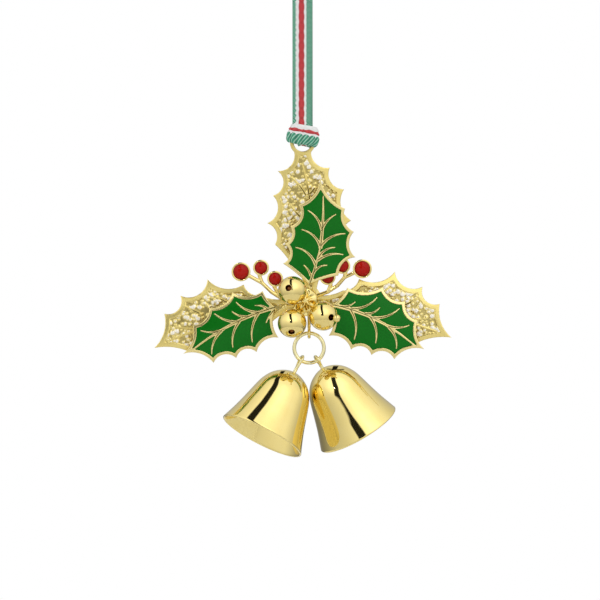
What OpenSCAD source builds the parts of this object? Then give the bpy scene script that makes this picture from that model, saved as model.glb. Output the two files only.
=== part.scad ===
// Christmas ornament: a spray of holly leaves and berries on a ribbon, with two bells on a ring.
// Millimetres. +Z is up, -Y is the front. The origin is where the ribbon loop hangs on its hook.

/* [Gold leaves] */
// Thickness of a gold leaf
leaf_t = 0.9; // [0.8:0.05:1.1]
// Width of the polished rim round a gold leaf
gold_rim = 1.3; // [1:0.1:1.6]
// Depth of the pebbled field below the rim
gold_recess = 0.25; // [0.15:0.05:0.35]
// Radius that the gold leaves are bent to, across their width
gold_arch = 42; // [34:2:60]
// Radius of the hole in the hanging eye
eye_r = 2.4; // [2.4:0.1:3]
// Width of the bar round the hanging eye
eye_bar = 1; // [0.8:0.05:1.2]

/* [Green leaves] */
// Thickness of a green leaf's gold tray
tray_t = 1.1; // [1:0.05:1.3]
// Width of the gold rim round the enamel
green_rim = 0.85; // [0.7:0.05:1]
// Depth of the enamel
enamel_t = 0.5; // [0.35:0.05:0.6]
// Radius that the green leaves are bent to, across their width
green_arch = 34; // [30:2:50]
// Width of a vein where it leaves the midrib
vein_w = 0.95; // [0.7:0.05:1.1]

/* [Berries and beads] */
// Radius of the red enamel in the outer berry
berry_big = 2.05; // [1.8:0.05:2.1]
// Radius of the red enamel in the other berries
berry_small = 1.65; // [1.4:0.05:1.7]
// Width of the gold wall round a berry
cup_wall = 0.5; // [0.4:0.05:0.6]
// Height of a berry's cup
cup_h = 1; // [0.9:0.05:1.1]
// Radius of a berry's stem
stem_r = 0.5; // [0.4:0.05:0.5]
// Radius of a gold bead
bead_r = 3.85; // [3.4:0.05:4]
// Wall of a gold bead
bead_wall = 0.45; // [0.35:0.05:0.6]
// Radius of the drilled hole in the front of a bead
bead_hole = 0.85; // [0.75:0.05:1]
// Radius of the pin through a bead
pin_r = 0.5; // [0.4:0.05:0.6]
// Radius of the hub that everything is soldered to
hub_r = 3.2; // [3:0.1:3.5]

/* [Ring and bells] */
// Radius of the jump ring, to the middle of its wire
ring_r = 4; // [3.8:0.1:4.8]
// Radius of the jump ring's wire
ring_wire = 0.5; // [0.4:0.05:0.55]
// Angle between the lowest point of the ring and each bell's eye
ring_spread = 35; // [32:1:42]
// Radius of the mouth of a bell
bell_r = 11.6; // [9.5:0.1:14]
// Height of a bell
bell_h = 19.4; // [16:0.1:23.5]
// Wall of a bell
bell_wall = 0.55; // [0.45:0.05:0.7]
// Length of the left bell's eye, from the ring's wire to the crown
eye_len = 3.85; // [3.6:0.05:4.8]
// Length of the right bell's shorter eye
eye_len_right = 2.65; // [2.6:0.05:3.8]
// Radius of the wire of a bell's eye
eye_wire = 0.35; // [0.3:0.05:0.4]
// Radius of the ball of a clapper
clapper_r = 1.9; // [1.6:0.1:2.1]
// Length of a clapper, from its pivot to the middle of its ball
clapper_len = 10.5; // [9:0.1:11.5]

/* [Ribbon] */
// Width of the woven ribbon
ribbon_w = 5; // [4:0.5:6]
// Thickness of the woven ribbon
ribbon_t = 0.6; // [0.4:0.1:0.8]
// Thickness of the folded ribbon in the knot
band_t = 0.8; // [0.6:0.1:1]

/* [Hidden] */
$fn = 72;

gold = "gold";
pale_gold = "khaki";
green = "forestgreen";
red = "firebrick";
cloth = "mediumseagreen";

slip = 0.1;         // running clearance between a wire and its hole
swing_gap = 0.2;    // clearance round pieces that swing past each other
eye_z = -52;        // middle of the hanging eye, below the hook
deep = 8;           // longer than any leaf is thick, for cutters
blunt = 0.04;       // how much the spines are blunted
gold_vein = 0.6;    // width of a raised line in a gold leaf's field
midrib_gain = 1.4;  // how much wider the midrib may be than the short veins
vein_taper = 0.65;  // share of its width that a vein loses to its end
cup_floor = 0.3;    // height of a cup's floor, as a share of the cup
dome = 0.4;         // rise of a berry's dome, as a share of its radius
joint_ball = 1.05;  // wires swell this much where they are soldered or bent

// Front faces, at the midribs, from back to front
stack_gap = 0.15;   // between one layer and the next
gold_y = -leaf_t / 2;
spray_y = gold_y - stack_gap;
green_lift = 3;     // from the cups to the green leaves, so that they clear the berries' domes
green_y = spray_y - cup_h - green_lift;
hub_front = green_y - stack_gap;
hub_foot = 0.8;     // height of the hub's foot, behind the gold leaves
hub_back = leaf_t / 2 + stack_gap + hub_foot;
foot_rim = 1.2;     // how far the foot stands out round the hub
plate_t = 1;        // plate with one arm for each bead
arm_w = 3.2;
pad_r = 2.6;
seat = 0.4;         // how deep a bead sits in its pad

// Places on the front, as [x, z] from the middle of the hanging eye
hub = [0.7, -42.5];
ring_top = [1.75, -51.4];
ring_y = -2.4;
pin_loop = 1.3;     // eye pin's loop, to the middle of its wire
pin_wire = 0.4;
pin_loop_z = ring_top.y + pin_loop - pin_wire - ring_wire - swing_gap;

// A side gold leaf, base to tip to base: the points of its spines, [along, across]
side_gold = [[-4, 1.6], [5.6, 4.6], [8.9, 8.8], [17.8, 13.3], [26.2, 11.4], [31.8, 8.1], [37.4, 0],
             [32.6, -1.3], [31, -5.5], [22.6, -5.4], [14.6, -5.6], [7, -4.4], [-4, -1.6]];
side_gold_bays = [1.2, 1, 1.9, 2.4, 2.2, 1.4, 0.2, 0.9, 1.6, 1.2, 1, 0.8];
// The top gold leaf, from its base up its left side to the neck and down its right side
top_gold = [[-3, 1.6], [7.2, 5], [10.8, 10], [17.8, 10.7], [25.2, 8.7], [31.8, 7.2], [36.4, 2.3],
            [36.4, -2.3], [32, -7.2], [26, -10.8], [17.4, -12.3], [10.4, -10.4], [6.2, -5], [-3, -1.6]];
top_gold_bays = [0.6, 0.3, 2.3, 2.2, 2.3, 1.7, 0, 1.6, 2, 1.9, 1.8, 0.5, 0.6];

// Green leaves: the points of their rims, and how deep each bay between them is
side_green_low = [[21.4, -5.9], [15.4, -7.5], [9.8, -8.5], [2.7, -7.7], [1, -1.2], [-8.4, -2.6]];
left_green = concat([[-8.4, -0.8], [0.2, 1], [0.9, 5.6], [8.3, 9], [15.8, 8.1], [21.9, 5.8],
                     [28, 0]], side_green_low);
right_green = concat([[-7.2, -0.6], [0.8, 1.6], [1.8, 6.3], [10.4, 10.6], [17.6, 9.7], [22.8, 6.4],
                      [27.8, 0]], side_green_low);
side_green_bays = [0, 0.3, 1.4, 1.6, 1.5, 1.4, 1.5, 1.7, 1.7, 1.5, 0.8, 0];
top_green = [[-4.4, 1.4], [0.4, 1.1], [4.6, 7.7], [9.8, 7.9], [14.8, 6.9], [20.7, 5.3], [29.6, 0.4],
             [21.1, -7.4], [15.2, -10.5], [8.4, -11.7], [3, -7.6], [0.4, -1.1], [-4.4, -0.4]];
top_green_bays = [0, 0.2, 1.7, 1.3, 1.7, 1.9, 1.7, 1.4, 1.6, 1.4, 0.2, 0];

// Veins: [start, end, bow] where bow pushes the middle of the vein to its left
left_veins = [[[-6, -1.2], [25, -0.2], 1.9], [[14.9, 1], [20.6, 3.5], -0.6],
              [[10.4, 1], [15.3, 6], -0.7], [[7.4, 1.1], [10.8, 4.3], -0.5],
              [[4.6, 0.9], [8.7, 6.1], -0.7], [[1.8, 0.2], [4.6, 3], 0.5],
              [[15.6, 0.9], [20.8, -3.6], 0.8], [[10.2, 1], [14.9, -4.5], 0.8],
              [[4.4, 0.8], [9.6, -5.6], 0.9], [[-0.6, -0.2], [4, -2.6], 0.4]];
right_veins = [[[-5, -1.1], [25, -0.2], 2.4], [[15.8, 1.5], [21.2, 4.2], -0.6],
               [[11.6, 1.9], [16.9, 7.2], -0.8], [[9, 1.9], [12, 5.2], -0.6],
               [[5.2, 1.6], [10.2, 7.3], -0.9], [[2.4, 1], [5.4, 3.8], -0.5],
               [[16.4, 1.3], [20.7, -3.1], 0.8], [[10.6, 1.8], [15, -4.1], 0.9],
               [[4.9, 1.4], [9.4, -5.6], 1]];
top_veins = [[[-3, 0.6], [10.6, -1.9], -0.3], [[9.6, -1.9], [23.8, -1.1], -0.3],
             [[15, -1.6], [19.5, 2.6], -0.7], [[10, -1.9], [14.2, 3.7], -1],
             [[5.2, -1.1], [9.3, 4.8], -1], [[2, -0.2], [4.8, 2.1], -0.3],
             [[14.4, -1.7], [19.3, -5.1], 0.6], [[10.2, -1.9], [14.4, -8.2], 1],
             [[7.2, -1.7], [10.4, -5.9], 0.8], [[6.4, -1.5], [8.7, -8.3], 0.9],
             [[2.9, -0.8], [5.4, -4.3], 0.7]];
side_gold_veins = [[[22, 4.6], [25.8, 8.3], -0.2], [[14, 5], [17.6, 8.8], -0.2], [[10, 0], [33, 0.6], 0.6],
                   [[19, 1.2], [29.6, 3.4], -0.6]];
top_gold_veins = [[[20, -1.4], [33.4, 0.3], -0.4], [[23.6, -0.8], [30, 3.5], -0.4],
                  [[18, 0.4], [22.6, 4], 0.3], [[24.4, -1], [27.4, -4.6], 0.4]];

// Each leaf: where it starts, the angle that it points at, whether it is mirrored, then its lists
gold_top = [[1.8, -39], 92.8, false, top_gold, top_gold_bays, top_gold_veins];
gold_left = [[-4.7, -43.8], -18.3, true, side_gold, side_gold_bays, side_gold_veins];
gold_right = [[4.3, -42.8], -15.4, false, side_gold, side_gold_bays, side_gold_veins];
green_top = [[1.8, -38.1], 83.7, false, top_green, top_green_bays, top_veins];
green_left = [[-7.4, -44.6], -26.6, true, left_green, side_green_bays, left_veins];
green_right = [[7.7, -44.1], -25, false, right_green, side_green_bays, right_veins];

// Berries: middle of each as [x, z], outer one first, and the points that each stem runs through
left_berries = [[-16.6, -34.9], [-11.2, -33.8], [-7.4, -36.8]];
right_berries = [[16.1, -34.1], [10.7, -33.3], [6.75, -36.3]];
left_stems = [[[-16.6, -34.9], [-14, -36.2], [-10.9, -37.9], [-8.3, -40.4], [-5.8, -42], [-2, -43]],
              [[-11.2, -33.8], [-11.6, -36], [-10.9, -37.9]],
              [[-7.4, -36.8], [-7.6, -39], [-5.8, -42]]];
right_stems = [[[16.1, -34.1], [13.6, -35.3], [11.3, -36.4], [9.4, -38.6], [6.8, -40.3], [2, -42]],
               [[10.7, -33.3], [11.6, -35], [11.3, -36.4]],
               [[6.75, -36.3], [7.6, -38.4], [6.8, -40.3]]];

// Beads: middle as [x, z], how far the drilled hole faces right and up, and how far the pin stands out
beads = [[[-2.7, -40], [-17, 11], 3.3], [[-2.8, -48.7], [-3, -39], 3.4], [[5.5, -46.8], [35, -5], 6.2]];
pin_tail = 0.9;     // how far a pin runs into the hub behind its bead
peg_r = 1;

// Bells
bell_shape = [[1, 0], [0.92, 0.13], [0.843, 0.265], [0.776, 0.4], [0.715, 0.53], [0.648, 0.67],
              [0.598, 0.745], [0.502, 0.84], [0.375, 0.915], [0.2, 0.975], [0, 1]];
crown_rim = bell_shape[len(bell_shape) - 2];
shoulder = 0.6;     // where the wall's offset starts to have a vertical part, as a share of the mouth
left_tip = -14.5;   // left bell tips forward
right_tip = 11;     // right bell tips back
rest_x = 0.05;      // the bells meet this far to the right of the ring's middle
eye_turn = 15;      // each eye is turned a little off the line of sight
eye_loop = 1.2;     // radius of the eye's loop, to the middle of its wire
washer_r = 1.1;
washer_t = 0.4;
inner_loop = 0.9;   // loop that the clapper hangs on
hook_loop = 0.75;   // loop at the top of the clapper
hook_wire = 0.3;
shank_r = eye_wire + 0.1;
neck = 1.25;        // from the crown to where the two strands of the eye meet
crown_fall = bell_h * (1 - crown_rim.y) * washer_r / (crown_rim.x * bell_r - bell_wall);
function eye(left) = left ? eye_len : eye_len_right;
function twist_z(left) = neck - eye(left);
function washer_top(left) = -eye(left) - bell_wall - crown_fall - slip;  // under the crown's sloping inside
function inner_z(left) = washer_top(left) - washer_t - inner_loop - eye_wire;
ring_mid = [ring_top.x, ring_top.y - ring_r];
left_lean = lean(true, left_tip);
right_lean = -lean(false, right_tip);

// Knot
knot_front = -0.9;  // lowest point of the front band, from the middle of the eye
knot_back = 0.3;
knot_h = eye_r + eye_bar + swing_gap + band_t - knot_front;
slot_x = eye_r + eye_bar + swing_gap;
slot_y = 1.7;
bar_z = eye_r + eye_bar / 2;
saddle_in = norm([eye_bar, leaf_t / 2]) + 0.1;
saddle_x = sqrt(eye_r * eye_r - pow(bar_z - saddle_in, 2)) - swing_gap;

// The ribbon's middle line, [x, y, z], from the knot over the hook and back
ribbon_route = [[-0.2, -0.5, -48.1], [-0.2, -0.6, -45], [-0.2, -1.2, -40], [-0.2, -2, -34],
                [-0.2, -2.8, -28], [-0.2, -3.6, -22], [-0.2, -4.4, -16], [-0.2, -5, -11], [-0.2, -5.3, -7.5],
                [-0.2, -5.2, -5], [-0.2, -4.7, -2.8], [-0.1, -3.6, -1.1], [-0.1, -1.9, -0.1], [0, 0, 0.3],
                [0.1, 1.9, -0.1], [0.1, 3.6, -1.1], [0.2, 4.7, -2.8], [0.2, 5.2, -5], [0.2, 5.3, -7.5],
                [0.2, 5, -11], [0.2, 4.4, -16], [0.2, 3.6, -22], [0.2, 2.8, -28], [0.2, 2, -34], [0.2, 1.2, -40],
                [0.2, 0.6, -45], [0.2, 0.5, -48.1]];

// Angle that a bell leans out from upright: from the front the two just meet, one tipped before the other
function lean(left, tip) =
    let (reach = -ring_r * sin(ring_spread) - (left ? rest_x : -rest_x),
         angles = [for (p = bell_shape) let (s = eye(left) + bell_h * (1 - p.y), r = bell_r * p.x)
                   atan2(r, s) + asin(reach / norm([s, r]))])
    asin(sin(max(angles)) / cos(tip));

// Circle through two spines that cuts the bay between them: [middle, radius]
function bay_circle(a, b, bay) =
    let (chord = b - a, c = norm(chord), r = (c * c / 4 + bay * bay) / (2 * bay))
    [(a + b) / 2 + [-chord.y, chord.x] / c * (r - bay), r];

// Point on a bowed line from a to b
function bowed(a, b, bow, s) =
    let (d = b - a)
    a + d * s + [-d.y, d.x] / norm(d) * bow * 4 * s * (1 - s);

// Flat outline of a leaf, drawn in by inset
module leaf_outline(leaf, inset = blunt) {
    spines = leaf[3];
    bays = leaf[4];
    difference() {
        polygon(spines);
        for (i = [0 : len(bays) - 1])
            if (bays[i] > 0) {
                c = bay_circle(spines[i], spines[i + 1], bays[i]);
                translate(c[0]) circle(c[1] + inset);
            }
    }
}

// One vein that tapers to its end
module vein(a, b, bow, w) {
    steps = 6;
    side = [for (i = [0 : steps]) let (s = i / steps, p = bowed(a, b, bow, s),
            q = bowed(a, b, bow, s + 0.01) - p, half = w / 2 * (1 - vein_taper * s))
            [p, [-q.y, q.x] / norm(q) * half]];
    polygon(concat([for (v = side) v[0] + v[1]], [for (i = [steps : -1 : 0]) side[i][0] - side[i][1]]));
}

// All veins of a leaf, the long midrib widest
module veins(leaf, w) {
    for (v = leaf[5]) vein(v[0], v[1], v[2], w * min(midrib_gain, 0.8 + norm(v[1] - v[0]) / 40));
}

// Children as a plate bent across its width, from one depth below the front to another
module bent(top, bottom, arch) {
    span = 90;
    intersection() {
        translate([0, 0, -deep]) linear_extrude(deep + 1) children();
        translate([0, 0, -arch]) rotate([0, 90, 0]) difference() {
            cylinder(h = span, r = arch - top, center = true, $fn = 240);
            cylinder(h = span + 2, r = arch - bottom, center = true, $fn = 240);
        }
    }
}

module hub_cylinder() {
    translate([hub.x, 0, eye_z + hub.y]) rotate([90, 0, 0]) cylinder(h = 40, r = hub_r, center = true);
}

// Puts a leaf drawn flat in its place on the front, against the hub
module on_front(leaf, front_y) {
    difference() {
        translate([leaf[0].x, front_y, eye_z + leaf[0].y])
            mirror([leaf[2] ? 1 : 0, 0, 0]) rotate([90, 0, 0]) rotate([0, 0, leaf[1]]) children();
        hub_cylinder();
    }
}

module gold_leaf(leaf) {
    on_front(leaf, gold_y) difference() {
        bent(0, leaf_t, gold_arch) leaf_outline(leaf);
        bent(-0.5, gold_recess, gold_arch) difference() {
            leaf_outline(leaf, gold_rim);
            veins(leaf, gold_vein);
        }
    }
}

module green_field(leaf) {
    difference() {
        leaf_outline(leaf, green_rim);
        veins(leaf, vein_w);
    }
}

module green_tray(leaf) {
    on_front(leaf, green_y) difference() {
        bent(0, tray_t, green_arch) leaf_outline(leaf);
        bent(-0.5, enamel_t, green_arch) green_field(leaf);
    }
}

module green_enamel(leaf) {
    on_front(leaf, green_y) bent(0, enamel_t, green_arch) green_field(leaf);
}

// A round wire through a list of [x, z] points on the front, at one depth
module front_wire(points, y, r) {
    for (i = [0 : len(points) - 2]) {
        a = points[i];
        d = points[i + 1] - a;
        translate([a.x, y, eye_z + a.y]) {
            sphere(r * joint_ball);
            rotate([0, atan2(d.x, d.y), 0]) cylinder(h = norm(d), r = r);
        }
    }
}

module berry_spray(berries, stems) {
    difference() {
        union() {
            for (s = stems) front_wire(s, spray_y - cup_h / 2, stem_r);
            for (i = [0 : len(berries) - 1])
                translate([berries[i].x, spray_y, eye_z + berries[i].y]) rotate([90, 0, 0])
                    cylinder(h = cup_h, r = (i == 0 ? berry_big : berry_small) + cup_wall);
        }
        for (i = [0 : len(berries) - 1])
            translate([berries[i].x, spray_y, eye_z + berries[i].y]) rotate([90, 0, 0])
                translate([0, 0, cup_h * cup_floor])
                    cylinder(h = cup_h, r = i == 0 ? berry_big : berry_small);
        hub_cylinder();
    }
}

module berry_enamel(berries) {
    for (i = [0 : len(berries) - 1]) {
        r = i == 0 ? berry_big : berry_small;
        rise = dome * r;
        ball = (r * r + rise * rise) / (2 * rise);
        translate([berries[i].x, spray_y, eye_z + berries[i].y]) rotate([90, 0, 0]) intersection() {
            translate([0, 0, cup_h * cup_floor]) cylinder(h = cup_h + rise, r = r);
            translate([0, 0, cup_h + rise - ball]) sphere(ball, $fn = 120);
        }
    }
}

// A bead's middle, with its drilled hole along local +Z
module at_bead(b) {
    translate([b[0].x, hub_front - plate_t + seat - bead_r, eye_z + b[0].y])
        rotate([0, 0, b[1].x]) rotate([-b[1].y, 0, 0]) rotate([90, 0, 0]) children();
}

module bead(i) {
    at_bead(beads[i]) difference() {
        sphere(bead_r, $fn = 120);
        sphere(bead_r - bead_wall, $fn = 120);
        cylinder(h = bead_r + 1, r = bead_hole);
        translate([0, 0, -bead_r - 1]) cylinder(h = bead_r + 1, r = pin_r);
    }
}

// The left and right bells' own frames: the ring's wire at the origin, the bell hanging along -Z
module at_bell(left) {
    side = left ? -1 : 1;
    translate([ring_mid.x + side * ring_r * sin(ring_spread), ring_y,
               eye_z + ring_mid.y - ring_r * cos(ring_spread)])
        rotate([0, left ? left_lean : right_lean, 0]) rotate([left ? left_tip : right_tip, 0, 0]) children();
}

module rod(a, b, r) {
    d = b - a;
    translate(a) rotate([0, acos(d.z / norm(d)), atan2(d.y, d.x)]) cylinder(h = norm(d), r = r);
    translate(a) sphere(r * joint_ball);
    translate(b) sphere(r * joint_ball);
}

// Half or whole wire loop in the YZ plane
module wire_loop(r, wire, angle = 360) {
    rotate([0, 90, 0]) rotate([0, 0, 90]) rotate_extrude(angle = angle) translate([r, 0]) circle(wire);
}

module bell_eye(left) {
    loop_z = inner_z(left);
    at_bell(left) {
        rotate([0, 0, eye_turn]) {
            wire_loop(eye_loop, eye_wire, 180);
            for (side = [-1, 1]) rod([0, side * eye_loop, 0], [0, side * eye_wire / 2, twist_z(left)], eye_wire);
        }
        translate([0, 0, loop_z + inner_loop])
            cylinder(h = twist_z(left) + slip - loop_z - inner_loop, r = shank_r);
        translate([0, 0, washer_top(left) - washer_t]) cylinder(h = washer_t, r = washer_r);
        translate([0, 0, loop_z]) wire_loop(inner_loop, eye_wire);
    }
}

function bell_outer(p) = [bell_r * p.x, bell_h * p.y];
function bell_inner(p) =
    [max(0, bell_r * p.x - bell_wall), bell_h * p.y - (p.x < shoulder ? bell_wall : 0)];

module bell(left) {
    last = len(bell_shape) - 1;
    at_bell(left) translate([0, 0, -eye(left) - bell_h]) difference() {
        rotate_extrude() polygon(concat([for (p = bell_shape) bell_outer(p)],
                                        [for (i = [last : -1 : 0]) bell_inner(bell_shape[i])]));
        translate([0, 0, bell_h / 2]) cylinder(h = bell_h, r = shank_r + slip);
    }
}

module clapper(left) {
    at_bell(left) translate([0, 0, inner_z(left) - inner_loop]) rotate([0, left ? -left_lean : -right_lean, 0]) {
        rotate([0, 0, 90]) wire_loop(hook_loop, hook_wire);
        translate([0, 0, -clapper_len]) cylinder(h = clapper_len - hook_loop, r = eye_wire);
        translate([0, 0, -clapper_len]) sphere(clapper_r);
    }
}

// The ribbon: an eight-sided flat section swept along its route
function along(i) = let (n = len(ribbon_route) - 1)
    ribbon_route[min(i + 1, n)] - ribbon_route[max(i - 1, 0)];
function ribbon_ring(i) =
    let (t = along(i) / norm(along(i)), n = [0, -t.z, t.y] / norm([t.y, t.z]), w = ribbon_w / 2,
         h = ribbon_t / 2, c = ribbon_t / 4)
    [for (q = [[w - c, h], [w, h - c], [w, c - h], [w - c, -h],
               [c - w, -h], [-w, c - h], [-w, h - c], [c - w, h]])
        ribbon_route[i] + [q.x, 0, 0] + n * q.y];

module ribbon_loop() {
    n = len(ribbon_route);
    rings = [for (i = [0 : n - 1]) each ribbon_ring(i)];
    sides = [for (i = [0 : n - 2], k = [0 : 7]) let (a = i * 8 + k, b = i * 8 + (k + 1) % 8)
             [a, a + 8, b + 8, b]];
    ends = [[for (k = [0 : 7]) k], [for (k = [7 : -1 : 0]) (n - 1) * 8 + k]];
    color(cloth) polyhedron(points = rings, faces = concat(sides, ends), convexity = 4);
}

module ribbon_knot() {
    half_x = slot_x + band_t;
    half_y = slot_y + band_t;
    color(red) translate([0, 0, eye_z]) {
        difference() {
            translate([-half_x, -half_y, knot_front]) cube([2 * half_x, 2 * half_y, knot_h]);
            translate([-slot_x, -slot_y, knot_front - 1]) cube([2 * slot_x, 2 * slot_y, knot_h + 1 - band_t]);
            translate([-half_x - 1, 0, knot_front - 1])
                cube([2 * half_x + 2, half_y + 1, knot_back + 1 - knot_front]);
        }
        intersection() {
            translate([0, 0, bar_z]) rotate([0, 90, 0]) difference() {
                cylinder(h = 2 * saddle_x, r = slot_y + blunt, center = true);
                cylinder(h = 2 * saddle_x + 1, r = saddle_in, center = true);
            }
            translate([-half_x, -half_y, bar_z - half_y]) cube([2 * half_x, 2 * half_y, half_y]);
        }
    }
}

module gold_leaf_top() {
    color(gold) difference() {
        union() {
            gold_leaf(gold_top);
            translate([0, 0, eye_z]) rotate([90, 0, 0])
                cylinder(h = leaf_t, r = eye_r + eye_bar, center = true);
        }
        translate([0, 0, eye_z]) rotate([90, 0, 0]) cylinder(h = 4 * leaf_t, r = eye_r, center = true);
    }
}

module gold_leaf_left() {
    color(gold) gold_leaf(gold_left);
}

module gold_leaf_right() {
    color(gold) gold_leaf(gold_right);
}

module green_leaf_top() {
    color(pale_gold) green_tray(green_top);
}

module green_leaf_left() {
    color(pale_gold) green_tray(green_left);
}

module green_leaf_right() {
    color(pale_gold) green_tray(green_right);
}

module leaf_enamel_top() {
    color(green) green_enamel(green_top);
}

module leaf_enamel_left() {
    color(green) green_enamel(green_left);
}

module leaf_enamel_right() {
    color(green) green_enamel(green_right);
}

module berry_spray_left() {
    color(gold) berry_spray(left_berries, left_stems);
}

module berry_spray_right() {
    color(gold) berry_spray(right_berries, right_stems);
}

module berry_enamel_left() {
    color(red) berry_enamel(left_berries);
}

module berry_enamel_right() {
    color(red) berry_enamel(right_berries);
}

module centre_hub() {
    color(gold) difference() {
        translate([hub.x, hub_back, eye_z + hub.y]) rotate([90, 0, 0]) {
            cylinder(h = hub_back - hub_front + plate_t, r = hub_r);
            cylinder(h = hub_foot, r = hub_r + foot_rim);
            translate([0, 0, hub_back - hub_front]) linear_extrude(plate_t) for (b = beads) {
                arm = b[0] - hub;
                translate(arm) circle(pad_r);
                rotate(atan2(arm.y, arm.x)) translate([0, -arm_w / 2]) square([norm(arm), arm_w]);
            }
        }
        for (b = beads) at_bead(b) sphere(bead_r, $fn = 120);
    }
}

module hub_eye_pin() {
    color(gold) difference() {
        translate([ring_top.x, ring_y, eye_z + pin_loop_z]) {
            wire_loop(pin_loop, pin_wire);
            translate([0, 0, pin_loop]) cylinder(h = hub.y - pin_loop_z - pin_loop, r = pin_wire + 0.05);
        }
        hub_cylinder();
    }
}

module bead_top() {
    color(pale_gold) bead(0);
}

module bead_left() {
    color(pale_gold) bead(1);
}

module bead_right() {
    color(pale_gold) bead(2);
}

module bead_pins() {
    color(gold) for (b = beads) at_bead(b) {
        translate([0, 0, -bead_r - pin_tail]) cylinder(h = bead_r + pin_tail + b[2], r = pin_r);
        if (b[2] > bead_r) translate([0, 0, b[2]]) sphere(peg_r);
    }
}

module jump_ring() {
    color(pale_gold) translate([ring_mid.x, ring_y, eye_z + ring_mid.y]) rotate([90, 0, 0])
        rotate_extrude($fn = 120) translate([ring_r, 0]) circle(ring_wire);
}

module bell_eye_left() {
    color(gold) bell_eye(true);
}

module bell_eye_right() {
    color(gold) bell_eye(false);
}

module bell_left() {
    color(pale_gold) bell(true);
}

module bell_right() {
    color(pale_gold) bell(false);
}

module clapper_left() {
    color(gold) clapper(true);
}

module clapper_right() {
    color(gold) clapper(false);
}

ribbon_loop();
ribbon_knot();
gold_leaf_top();
gold_leaf_left();
gold_leaf_right();
green_leaf_top();
green_leaf_left();
green_leaf_right();
leaf_enamel_top();
leaf_enamel_left();
leaf_enamel_right();
berry_spray_left();
berry_spray_right();
berry_enamel_left();
berry_enamel_right();
centre_hub();
hub_eye_pin();
bead_top();
bead_left();
bead_right();
bead_pins();
jump_ring();
bell_eye_left();
bell_eye_right();
bell_left();
bell_right();
clapper_left();
clapper_right();
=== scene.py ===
"""Holly and bells ornament on a striped ribbon: gold and enamelled leaves, berries, beads and bells."""
import math

import bmesh
import bpy
import numpy as np
from mathutils import Matrix, Vector, noise


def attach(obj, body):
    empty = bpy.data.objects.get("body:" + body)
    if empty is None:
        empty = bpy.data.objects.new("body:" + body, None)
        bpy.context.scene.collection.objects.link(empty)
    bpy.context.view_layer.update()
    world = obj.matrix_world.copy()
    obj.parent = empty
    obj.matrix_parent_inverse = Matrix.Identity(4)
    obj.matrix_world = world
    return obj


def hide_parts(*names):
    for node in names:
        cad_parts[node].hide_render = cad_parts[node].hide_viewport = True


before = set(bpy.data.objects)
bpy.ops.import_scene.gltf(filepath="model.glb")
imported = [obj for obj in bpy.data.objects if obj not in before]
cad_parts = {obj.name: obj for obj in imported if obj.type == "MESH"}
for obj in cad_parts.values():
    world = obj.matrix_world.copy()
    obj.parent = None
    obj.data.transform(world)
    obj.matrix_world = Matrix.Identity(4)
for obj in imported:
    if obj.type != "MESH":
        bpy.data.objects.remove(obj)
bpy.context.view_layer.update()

# ---- View ----------------------------------------------------------------------------------------
# A long lens, level with the ornament and square to its enamelled side.
mm = 0.001
view_middle = Vector((-0.7, 0.0, -94.5)) * mm
view_distance = 700 * mm
view_width = 162 * mm
sensor_width = 36

lens = bpy.data.cameras.new("studio_camera")
lens.sensor_width = sensor_width
lens.lens = sensor_width * view_distance / view_width
lens.clip_start = 0.01
camera = bpy.data.objects.new("studio_camera", lens)
camera.location = view_middle - Vector((0, view_distance, 0))
camera.rotation_euler = (math.pi / 2, 0, 0)
bpy.context.scene.collection.objects.link(camera)
bpy.context.scene.camera = camera

# ---- Ribbon --------------------------------------------------------------------------------------
# A woven ribbon 5 mm wide, striped green, white, red, white and green, doubled over its hook. Plied
# yarns float along it in small beads, so it has a knobbly face. Both ends go into the knot.
ribbon_width = 5 * mm
ribbon_thick = 0.5 * mm
ribbon_route = [(-0.2, -0.5, -48.1), (-0.2, -0.6, -45), (-0.2, -1.2, -40), (-0.2, -2, -34), (-0.2, -2.8, -28),
                (-0.2, -3.6, -22), (-0.2, -4.4, -16), (-0.2, -5, -11), (-0.2, -5.3, -7.5), (-0.2, -5.2, -5),
                (-0.2, -4.7, -2.8), (-0.1, -3.6, -1.1), (-0.1, -1.9, -0.1), (0, 0, 0.3), (0.1, 1.9, -0.1),
                (0.1, 3.6, -1.1), (0.2, 4.7, -2.8), (0.2, 5.2, -5), (0.2, 5.3, -7.5), (0.2, 5, -11),
                (0.2, 4.4, -16), (0.2, 3.6, -22), (0.2, 2.8, -28), (0.2, 2, -34), (0.2, 1.2, -40),
                (0.2, 0.6, -45), (0.2, 0.5, -48.1)]
yarn_relief_height = 0.16
green_float = 1.35  # one float of the green edge yarns, in millimetres
red_float = 2.6
ground_pick = 0.9
red_middle = 0.48  # stripe places are shares of the width
red_half = 0.16


def smooth_line(points, step):
    """Points a step apart on a smooth curve through the given ones, and how far along it each lies."""
    pts = [Vector(p) for p in points]
    pts = [2 * pts[0] - pts[1]] + pts + [2 * pts[-1] - pts[-2]]
    fine, parts_each = [], 16
    for i in range(1, len(pts) - 2):
        a, b, c, d = pts[i - 1:i + 3]
        for k in range(parts_each):
            t = k / parts_each
            fine.append(0.5 * (2 * b + (c - a) * t + (2 * a - 5 * b + 4 * c - d) * t * t
                               + (3 * b - a - 3 * c + d) * t ** 3))
    fine.append(pts[-2])
    lengths = np.concatenate([[0], np.cumsum([(q - p).length for p, q in zip(fine, fine[1:])])])
    marks = np.linspace(0, lengths[-1], max(2, int(round(lengths[-1] / step)) + 1))
    line = np.array([[np.interp(m, lengths, [p[k] for p in fine]) for k in range(3)] for m in marks])
    return [Vector(p) for p in line], marks


def put(name, bm, body, material):
    """Makes the finished bmesh an object that rides on a body."""
    mesh = bpy.data.meshes.new(name)
    bm.to_mesh(mesh)
    bm.free()
    mesh.shade_smooth()
    mesh.materials.append(material)
    obj = bpy.data.objects.new(name, mesh)
    bpy.context.scene.collection.objects.link(obj)
    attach(obj, body)
    return obj


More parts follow.
